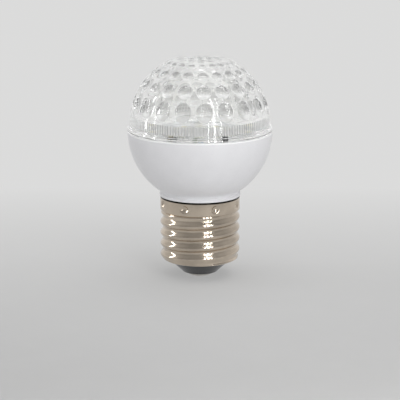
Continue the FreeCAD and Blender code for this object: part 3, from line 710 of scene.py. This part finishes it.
class LEDBULB_OT_cover(bpy.types.Operator):
    """Models the thick clear cover with its dimples, rounded crown, stepped rim and inner flutes"""

    bl_idname = "led_bulb.cover"
    bl_label = "Clear cover"

    def execute(self, context):
        size = context.scene.led_bulb_cover
        centre = SEAM_Z + size.dome_rise
        pieces = [self.row_of_dimples(size, centre, row) for row in DIMPLE_ROWS]
        pieces.append(self.lower_outside(size, centre))
        pieces.append(self.crown(size, centre))
        pieces.append(self.inside(size, centre))
        cover = joined("cover", pieces)
        fill_flat(cover, SEAM_Z)
        turn_outwards(cover)
        self.haze_bands(cover, centre, size.dome_radius)
        smooth(cover, SHARP)
        finish_piece(cover, "clear_plastic", self.finish(context), "clear_cover")
        return {"FINISHED"}

    def softened(self, low, high, soft):
        """The lower of two heights, with a soft change from one to the other."""
        share = ramp(high - low, -soft, soft)
        return high * (1 - share) + low * share - soft * share * (1 - share)

    def lined_up(self, piece, size):
        """Turns a plain ring piece so that its points meet those of the dimples' cells."""
        piece.data.transform(axis_turn(FRONT + size.turn + math.pi / size.columns))
        return piece

    def row_of_dimples(self, size, centre, row):
        """One cell with its dimple, drawn flat as rings, laid on the dome and repeated round it."""
        rim = math.asin(row.diameter * MM / 2 / size.dome_radius) * size.dome_radius
        rings = [rim * share for share in CELL_RINGS + EDGE_RINGS + BOWL_RINGS]
        cell = flat_disc("dimple_cell", rings, CELL_SIDE * 4)
        drawn = [vertex.co.copy() for vertex in cell.data.vertices]
        for place, vertex in zip(drawn, cell.data.vertices):
            vertex.co = self.laid_point(place, rings, size, row) + Vector((0, 0, centre))
        self.mark_dimple(cell, drawn, rim, row)
        step = 2 * math.pi / size.columns
        turns = [FRONT + size.turn + index * step for index in range(size.columns)]
        copies = [moved_copy(cell, axis_turn(turn)) for turn in turns]
        bpy.data.objects.remove(cell)
        return joined("dimple_row", copies)

    def laid_point(self, place, rings, size, row):
        """Where a point of a flat cell comes to lie, as seen from the dome's centre."""
        reach = place.length
        turn = math.atan2(place.y, place.x)
        mouth = rings[len(CELL_RINGS)]
        up = math.radians(row.latitude)
        axis = Vector((math.cos(up), 0, math.sin(up)))
        east = Vector((0, 1, 0))
        north = Vector((-math.sin(up), 0, math.cos(up)))
        angle = min(reach, mouth) / size.dome_radius
        out = east * math.cos(turn) + north * (math.sin(turn) * row.tall)
        bend = angle * out.length
        way = axis * math.cos(bend) + out.normalized() * math.sin(bend)
        if reach > mouth + TINY:
            edge = self.cell_edge(turn, math.pi / size.columns, row)
            share = (reach - mouth) / (rings[0] - mouth)
            return (way * (1 - share) + edge * share).normalized() * size.dome_radius
        bowl = self.bowl_reach(angle, size, row)
        return way * self.softened(bowl, size.dome_radius, DIMPLE_SOFTENING)

    def bowl_reach(self, angle, size, row):
        """How far from the dome's centre the sphere that shapes a dimple lies, at an angle from its axis."""
        half = row.diameter * MM / 2
        mouth = math.sqrt(size.dome_radius**2 - half**2)
        bottom = size.dome_radius - row.depth * MM
        distance = (half**2 + mouth**2 - bottom**2) / (2 * (mouth - bottom))
        radius = distance - bottom
        return distance * math.cos(angle) - math.sqrt(radius**2 - (distance * math.sin(angle)) ** 2)

    def cell_edge(self, turn, half_cell, row):
        """The point of a cell's edge, as a direction, that belongs to a direction in its dimple."""
        quarter = math.pi / 4
        turn = (turn + quarter) % (2 * math.pi) - quarter
        if turn < quarter + TINY:
            across, along = 1.0, turn / quarter
        elif turn < 3 * quarter + TINY:
            across, along = (2 * quarter - turn) / quarter, 1.0
        elif turn < 5 * quarter + TINY:
            across, along = -1.0, (4 * quarter - turn) / quarter
        else:
            across, along = (turn - 6 * quarter) / quarter, -1.0
        side = across * half_cell
        up = math.radians(row.low + (row.high - row.low) * (along + 1) / 2)
        return Vector((math.cos(up) * math.cos(side), math.cos(up) * math.sin(side), math.sin(up)))

    def mark_dimple(self, cell, places, rim, row):
        """Keeps each point's haze and its share of the painted shade on the dimple's top for the finish."""
        marks = cell.data.attributes.new("dimple", "FLOAT_VECTOR", "POINT")
        for place, mark in zip(places, marks.data):
            share = place.length / rim
            inside = ramp(1.0 - share, 0.0, BOWL_MARK_WIDTH)
            edge = max(0.0, 1.0 - abs(share - 1.0) / RIM_MARK_WIDTH)
            low = inside * ramp(-place.y / rim, *LOW_MARK)
            # Share of painted shade, rising towards the dimple's head
            top = inside * ramp(place.y / rim, row.shade_foot, row.shade_full)
            mark.vector = (max(edge * RIM_HAZE, low * LOW_HAZE), top, 0.0)

    def haze_bands(self, cover, centre, dome_radius):
        """Adds the faint haze of the plain band below the dimples and that of the crown."""
        marks = cover.data.attributes["dimple"].data
        for vertex, mark in zip(cover.data.vertices, marks):
            away = vertex.co - Vector((0, 0, centre))
            if away.length < dome_radius - OUTSIDE_DEPTH:
                continue
            latitude = math.degrees(math.atan2(away.z, math.hypot(away.x, away.y)))
            foot = ramp(latitude, *FOOT_HAZE_IN) * (1.0 - ramp(latitude, *FOOT_HAZE_OUT)) * FOOT_HAZE
            crown = ramp(latitude, *CROWN_HAZE_IN) * CROWN_HAZE
            haze, top, rest = mark.vector
            mark.vector = (max(haze, foot, crown), top, rest)

    def lower_outside(self, size, centre):
        """The spigot, the underside of the rim, the rounded rim and the plain foot of the dome."""
        edge = 0.2 * MM
        rounding = 0.14 * MM
        foot_gap = 0.06 * MM
        foot_step = 0.3
        spigot_z = SEAM_Z - size.spigot_depth
        bore = size.spigot_radius - size.spigot_wall
        rim_top = SEAM_Z + size.rim_height
        low = math.asin((rim_top - centre) / size.dome_radius)
        profile = [(bore, SEAM_Z), (bore, spigot_z + edge), (bore + edge, spigot_z)]
        profile += [(size.spigot_radius - edge, spigot_z), (size.spigot_radius, spigot_z + edge)]
        profile += [(size.spigot_radius, SEAM_Z - WELD), (GLOBE_RADIUS - WELD, SEAM_Z - WELD)]
        profile += [(GLOBE_RADIUS, SEAM_Z)]
        corner = (GLOBE_RADIUS - rounding, rim_top - rounding)
        profile += arc_points(corner, rounding, 0, 90, CORNER_STEPS)
        profile += [(size.dome_radius * math.cos(low) + foot_gap, rim_top)]
        start = math.degrees(low) + foot_step
        profile += arc_points((0, centre), size.dome_radius, start, DIMPLE_ROWS[0].low, FOOT_STEPS)
        return self.lined_up(turned_piece("cover_foot", profile, RING_COUNT), size)

    def crown(self, size, centre):
        """The top of the dome with its rounded edge and the flat crown with its small dimples."""
        whole = joined("crown", [self.crown_edge(size, centre)] + self.crown_dimples(size))
        fill_flat(whole, CROWN_Z)
        return whole

    def crown_edge(self, size, centre):
        """The top of the dome and its rounded edge, with the start of the flat crown."""
        flat_start = 0.15 * MM
        inner = size.dome_radius - size.crown_round
        arc_z = CROWN_Z - size.crown_round
        arc_angle = math.degrees(math.asin((arc_z - centre) / inner))
        arc_centre = (inner * math.cos(math.radians(arc_angle)), arc_z)
        start = DIMPLE_ROWS[-1].high
        profile = arc_points((0, centre), size.dome_radius, start, arc_angle, CROWN_TOP_STEPS)
        profile += arc_points(arc_centre, size.crown_round, arc_angle, 90, CROWN_ROUND_STEPS)[1:]
        profile += [(profile[-1][0] - flat_start, CROWN_Z)]
        return self.lined_up(turned_piece("crown_edge", profile, RING_COUNT), size)

    def crown_dimples(self, size):
        """The small dimples of the flat crown, one modelled and the rest copied in rings."""
        half = size.crown_dimple / 2
        radius = (half**2 + size.crown_depth**2) / (2 * size.crown_depth)
        rings = [half + step * MM for step in CROWN_EDGE_STEPS]
        rings += [half * share for share in CROWN_BOWL_RINGS]
        bowl = flat_disc("crown_dimple", rings, CROWN_DIMPLE_COUNT)
        for vertex in bowl.data.vertices:
            reach = vertex.co.length
            depth = radius - size.crown_depth - math.sqrt(radius**2 - reach**2)
            on_edge = reach > rings[0] - TINY
            vertex.co.z = CROWN_Z + (0 if on_edge else self.softened(depth, 0, CROWN_SOFTENING))
        dimples = []
        for count, ring in CROWN_RINGS:
            for index in range(count):
                turn = FRONT + size.turn + index * 2 * math.pi / count
                place = (ring * MM * math.cos(turn), ring * MM * math.sin(turn), 0)
                dimples.append(moved_copy(bowl, Matrix.Translation(place)))
        bpy.data.objects.remove(bowl)
        return dimples

    def inside(self, size, centre):
        """The inner wall with its fluted band, and the ceiling of the hollow."""
        inner = size.dome_radius - size.wall
        low = SEAM_Z + size.flute_start
        high = low + size.flute_height
        band = self.fluted_band(size, inner, low, high)
        whole = joined("inside", [band, self.ceiling(centre, inner, high)])
        fill_flat(whole, high)
        return whole

    def fluted_band(self, size, inner, low, high):
        """The inner wall from the seam up, with its flutes as a wave round the band."""
        edge = 0.06 * MM
        wall = inner + 0.02 * MM
        profile = [(inner, SEAM_Z), (inner, low - edge)]
        profile += [(wall, z) for z in (low, low + edge, high - edge, high)]
        band = turned_piece("fluted_band", profile, size.flute_count * FLUTE_STEPS)
        for vertex in band.data.vertices:
            if vertex.co.z > low - TINY:
                turn = math.atan2(vertex.co.y, vertex.co.x)
                wave = 0.5 - 0.5 * math.cos(turn * size.flute_count)
                push_out(vertex, 1 + size.flute_depth * wave / math.hypot(vertex.co.x, vertex.co.y))
        return band

    def ceiling(self, centre, inner, high):
        """The round ceiling of the hollow, closed at its top."""
        start = math.degrees(math.asin((high - centre) / inner))
        last_ring = 88.0
        profile = arc_points((0, centre), inner, start, last_ring, CEILING_STEPS)
        ceiling = start_ring("ceiling", *profile[0], CEILING_COUNT)
        pull_profile(profile)
        return close_centre(ceiling, centre + inner - profile[-1][1])

    def finish(self, context):
        """Clear polished plastic with faint moulding waves, uneven polish and hazy dimples with painted
        shade on their tops.
        """
        base = tuple(context.scene.led_bulb_colours.cover)
        material = new_finish("clear_plastic_cover", base, 0.015)
        shader = shader_of(material)
        shader.inputs["IOR"].default_value = 1.49
        vector = placed(material)
        cloud = noise(material, vector, 70.0)
        wave = noise(material, vector, 160.0, detail=1.0)
        tone = blend_colours(material, span(material, cloud, 0.0, 1.0), tinted(base, 0.985), base)
        marks = add_node(material, "ShaderNodeAttribute", attribute_name="dimple")
        axes = axes_of(material, marks.outputs["Vector"])
        # Painted shade: the base colour darkens towards DIMPLE_SHADE on the marked tops of the dimples
        shaded = add_node(material, "ShaderNodeVectorMath", operation="SCALE")
        connect(material, tone, shaded.inputs[0])
        connect(material, switch(material, axes["Y"], 1.0, DIMPLE_SHADE), shaded.inputs["Scale"])
        connect(material, shaded.outputs["Vector"], shader.inputs["Base Color"])
        connect(material, switch(material, axes["X"], 1.0, 0.0), shader.inputs["Transmission Weight"])
        connect(material, span(material, cloud, 0.008, 0.03), shader.inputs["Roughness"])
        relief(material, [(wave, 0.04, 0.0001)])
        self.let_shadows_through(material, shader)
        return material

    def let_shadows_through(self, material, shader):
        """Lets light reach the inner parts through the cover, nearly unchanged."""
        clear = add_node(material, "ShaderNodeBsdfTransparent", Color=(*SHADOW_TINT, 1.0))
        path = add_node(material, "ShaderNodeLightPath")
        shadow = path.outputs["Is Shadow Ray"]
        show(material, mixed_shaders(material, shadow, shader.outputs[0], clear.outputs[0]))


class LEDBULB_OT_cup(bpy.types.Operator):
    """Gives the white cup its satin moulded finish, with a painted highlight along its top edge"""

    bl_idname = "led_bulb.cup"
    bl_label = "White cup"

    def execute(self, context):
        base = tuple(context.scene.led_bulb_colours.cup)
        material = plain_finish("white_plastic_cup", base, 0.32, spread=0.02, grain=2600.0, depth=0.000008)
        colour_input = shader_of(material).inputs["Base Color"]
        tone = colour_input.links[0].from_socket
        # Painted highlight: a near-white band just under the cup's top edge
        low, high = [SEAM_Z - depth for depth in CUP_EDGE_HIGHLIGHT_DEPTHS]
        connect(material, banded(material, tone, CUP_EDGE_HIGHLIGHT, low, high), colour_input)
        dress(material, "lower_housing")
        return {"FINISHED"}


class LEDBULB_OT_cap(bpy.types.Operator):
    """Models the rolled screw shell with its smooth thread, crimped rim and turned-in mouth"""

    bl_idname = "led_bulb.cap"
    bl_label = "Screw cap"

    def execute(self, context):
        size = context.scene.led_bulb_cap
        rim_low = CAP_TOP_Z - size.rim_height
        shell = turned_piece("screw_cap", self.half_section(size, rim_low), CAP_COUNT)
        self.roll_thread(shell, size, rim_low)
        self.press_crimps(shell, size)
        turn_outwards(shell)
        wall = shell.modifiers.new("wall", "SOLIDIFY")
        wall.thickness = size.wall
        wall.offset = -1.0
        bpy.ops.object.modifier_apply(modifier=wall.name)
        smooth(shell, CAP_SHARP)
        finish_piece(shell, "nickel", self.finish(context), "screw_shell")
        return {"FINISHED"}

    def half_section(self, size, rim_low):
        """The plain wall from the mouth up to the rounded top of the rim, before it is rolled."""
        rim_joint = 0.2 * MM
        shoulder = (size.root_radius + 0.15 * MM, rim_low - 0.03 * MM)
        corner = (size.crest_radius - size.rim_corner, rim_low + size.rim_corner)
        top_edge = 0.1 * MM
        quarter = math.pi / 2
        heights = [
            SHELL_MOUTH_Z + size.mouth_height * (1 - math.cos(quarter * step / MOUTH_STEPS))
            for step in range(MOUTH_STEPS + 1)
        ]
        heights += even_steps(heights[-1], rim_low - rim_joint, THREAD_STEPS)
        profile = [(size.root_radius, z) for z in heights] + [shoulder]
        profile += arc_points(corner, size.rim_corner, -90, 0, CORNER_STEPS)
        rim_heights = even_steps(profile[-1][1], CAP_TOP_Z - top_edge, RIM_STEPS)
        profile += [(size.crest_radius, z) for z in rim_heights]
        return profile + [(size.crest_radius - top_edge, CAP_TOP_Z)]

    def roll_thread(self, shell, size, rim_low):
        """Moves the plain wall out along the thread's wave, and in at the mouth."""
        top = rim_low - 0.1 * MM
        fade_height = 0.3 * size.pitch
        for vertex in shell.data.vertices:
            x, y, z = vertex.co
            if z > top:
                continue
            fade = ramp(top - z, 0.0, fade_height)
            phase = (z - SHELL_MOUTH_Z) / size.pitch - math.atan2(y, x) / (2 * math.pi)
            wave = 0.5 + 0.5 * math.cos(2 * math.pi * phase)
            lift = (size.crest_radius - size.root_radius) * wave * fade * fade * (3 - 2 * fade)
            radius = min(size.root_radius + lift, self.mouth_limit(size, z))
            push_out(vertex, radius / math.hypot(x, y))

    def mouth_limit(self, size, z):
        """How far out the shell may reach at a height, so that its mouth turns in."""
        rise = ramp(z, SHELL_MOUTH_Z, SHELL_MOUTH_Z + size.mouth_height)
        clearance = 0.1 * MM
        opening = size.crest_radius + clearance - size.mouth_radius
        return size.mouth_radius + opening * math.sqrt(1 - (1 - rise) ** 2)

    def press_crimps(self, shell, size):
        """Presses the round crimps into the rim."""
        middle = CAP_TOP_Z - size.rim_height / 2
        rim_low = middle - size.rim_height / 2
        distance = size.crest_radius + size.crimp_radius - size.crimp_depth
        step = 2 * math.pi / size.crimp_count
        for vertex in shell.data.vertices:
            x, y, z = vertex.co
            reach = math.hypot(x, y)
            side = ((math.atan2(y, x) / step) % 1.0 - 0.5) * step * reach
            away = math.hypot(side, z - middle)
            if away >= size.crimp_radius or reach <= size.root_radius or z <= rim_low:
                continue
            bottom = distance - math.sqrt(size.crimp_radius**2 - away**2)
            if bottom < reach:
                push_out(vertex, bottom / reach)

    def finish(self, context):
        """Dull nickel plating with rolling marks, handling wear and a painted shadow along its top, under
        the cup's lip.
        """
        base = tuple(context.scene.led_bulb_colours.cap)
        material = new_finish("nickel_plated_cap", base, 0.3, metallic=1.0)
        shader = shader_of(material)
        drawn = noise(material, placed(material, (1, 1, 12)), 260.0, detail=5.0)
        cloud = noise(material, placed(material), 90.0)
        worn = span(material, cloud, 0.0, 1.0)
        tone = blend_colours(material, worn, tinted(base, 0.76), tinted(base, 1.14))
        # Painted shadow: the top of the rim darkens to near black where it meets the cup's lip
        low, high = [CAP_TOP_Z - depth for depth in LIP_SHADOW_DEPTHS]
        lip_shadow = banded(material, tone, LIP_SHADOW_DARK, low, high)
        connect(material, lip_shadow, shader.inputs["Base Color"])
        connect(material, span(material, drawn, 0.09, 0.18), shader.inputs["Roughness"])
        relief(material, [(drawn, 0.08, 0.00002)])
        return material


class LEDBULB_OT_inner_parts(bpy.types.Operator):
    """Gives the board, the light sources, the driver and the contact their finishes"""

    bl_idname = "led_bulb.inner_parts"
    bl_label = "Inner parts"

    def execute(self, context):
        colours = context.scene.led_bulb_colours
        self.dress_metal_parts()
        self.plain("black_insulator", colours.insulator, 0.2, "cap_insulator", spread=0.2, coat=0.3)
        # The board mask and the light sources' bodies are greyer than their real white, as painted shade
        # under the cover
        self.plain("white_board_mask", colours.board, 0.4, "led_board", spread=0.04, coat=0.2)
        self.plain("led_body", (0.55, 0.55, 0.53), 0.4, *nodes_called("led_package"), spread=0.05)
        self.dress_small_parts()
        self.dress_driver()
        return {"FINISHED"}

    def plain(self, name, base, roughness, *nodes, **more):
        """Gives CAD nodes a plain finish of their own."""
        dress(plain_finish(name, tuple(base), roughness, **more), *nodes)

    def dress_metal_parts(self):
        """The tinned contact and pins, the pressed spreader and the plated screws."""
        screws = nodes_called("board_screw")
        self.plain("tinned_contact", (0.62, 0.60, 0.56), 0.3, "centre_contact", spread=0.1, metallic=1.0)
        pins = ("positive_pin", "negative_pin")
        self.plain("tinned_pin", (0.70, 0.68, 0.62), 0.25, *pins, spread=0.08, metallic=1.0)
        self.plain("pressed_aluminium", (0.7, 0.7, 0.71), 0.35, "heat_spreader", spread=0.08, metallic=1.0)
        self.plain("zinc_screw", (0.62, 0.62, 0.6), 0.3, *screws, spread=0.1, metallic=1.0)

    def dress_small_parts(self):
        """The moulded black parts and the coated ones, on both boards."""
        black = ("control_chip", "dark_resistor", "bridge_rectifier", "switching_chip")
        green = ("green_capacitor", "fusible_resistor")
        self.plain("black_mould", (0.025, 0.025, 0.028), 0.45, *black, spread=0.25)
        self.plain("brown_ceramic", (0.17, 0.13, 0.07), 0.4, "ceramic_capacitor", spread=0.15)
        self.plain("green_coat", (0.09, 0.14, 0.08), 0.3, *green, spread=0.15, coat=0.4)
        self.plain("blue_coat", (0.22, 0.32, 0.44), 0.3, "blue_resistor", spread=0.15, coat=0.4)

    def dress_driver(self):
        """The driver's green board, sleeved capacitor, wound inductor and two leads."""
        self.plain("green_board_mask", (0.03, 0.17, 0.07), 0.4, "driver_board", spread=0.15, coat=0.2)
        self.plain("can_sleeve", (0.03, 0.045, 0.1), 0.3, "filter_capacitor", spread=0.15, coat=0.3)
        self.plain("ferrite_and_copper", (0.20, 0.10, 0.05), 0.4, "inductor", spread=0.2)
        self.plain("red_lead", (0.45, 0.03, 0.025), 0.45, "centre_wire", spread=0.1)
        self.plain("black_lead", (0.03, 0.03, 0.03), 0.45, "shell_wire", spread=0.2)


class LEDBULB_OT_phosphor(bpy.types.Operator):
    """Models the yellow phosphor in the wells of the light sources"""

    bl_idname = "led_bulb.phosphor"
    bl_label = "Phosphor"

    def execute(self, context):
        drop = self.drop()
        material = plain_finish("yellow_phosphor", (0.56, 0.53, 0.36), 0.5, spread=0.08, coat=0.3)
        count = len(nodes_called("led_package"))
        for index in range(count):
            copy = moved_copy(drop, axis_turn(index * 2 * math.pi / count))
            name_piece(copy, "phosphor_%02d" % (index + 1))
            finish_piece(copy, "led_body", material)
        bpy.data.objects.remove(drop)
        return {"FINISHED"}

    def drop(self):
        """The domed drop in the well of the first light source."""
        low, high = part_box("led_package_01")
        middle = (low.x + high.x) / 2
        floor = high.z - PHOSPHOR_DEPTH
        profile = [(radius * MM, floor + rise * MM) for radius, rise in PHOSPHOR_PROFILE]
        drop = start_ring("phosphor", *profile[0], PHOSPHOR_COUNT, middle, "NGON")
        pull_profile(profile, middle)
        leave_edit(drop)
        turn_outwards(drop)
        smooth(drop, SHARP)
        return drop


class LEDBULB_PT_panel(bpy.types.Panel):
    """Sizes, colours and steps of the LED bulb"""

    bl_label = "LED bulb"
    bl_idname = "LEDBULB_PT_panel"
    bl_space_type = "VIEW_3D"
    bl_region_type = "UI"
    bl_category = "LED bulb"

    def draw(self, context):
        layout = self.layout
        for name, title, group in SETTINGS:
            box = layout.box()
            box.label(text=title)
            for setting in group.__annotations__:
                box.prop(getattr(context.scene, name), setting)
        for step in STEPS:
            layout.operator(step.bl_idname)


SETTINGS = (
    ("led_bulb_cover", "Clear cover", LedBulbCoverSizes),
    ("led_bulb_cap", "Screw cap", LedBulbCapSizes),
    ("led_bulb_colours", "Colours", LedBulbColours),
    ("led_bulb_stage", "Stage", LedBulbStage),
)
STEPS = (
    LEDBULB_OT_stage,
    LEDBULB_OT_cover,
    LEDBULB_OT_cup,
    LEDBULB_OT_cap,
    LEDBULB_OT_inner_parts,
    LEDBULB_OT_phosphor,
)


def register():
    """Adds the settings, the steps and the panel to Blender."""
    for name, _, group in SETTINGS:
        bpy.utils.register_class(group)
        setattr(bpy.types.Scene, name, PointerProperty(type=group))
    for step in STEPS:
        bpy.utils.register_class(step)
    bpy.utils.register_class(LEDBULB_PT_panel)


def unregister():
    """Takes the panel, the steps and the settings out of Blender."""
    bpy.utils.unregister_class(LEDBULB_PT_panel)
    for step in reversed(STEPS):
        bpy.utils.unregister_class(step)
    for name, _, group in reversed(SETTINGS):
        delattr(bpy.types.Scene, name)
        bpy.utils.unregister_class(group)


def main():
    """Runs every step in order."""
    register()
    bpy.ops.led_bulb.stage()
    bpy.ops.led_bulb.cover()
    bpy.ops.led_bulb.cup()
    bpy.ops.led_bulb.cap()
    bpy.ops.led_bulb.inner_parts()
    bpy.ops.led_bulb.phosphor()


if __name__ == "__main__":
    main()
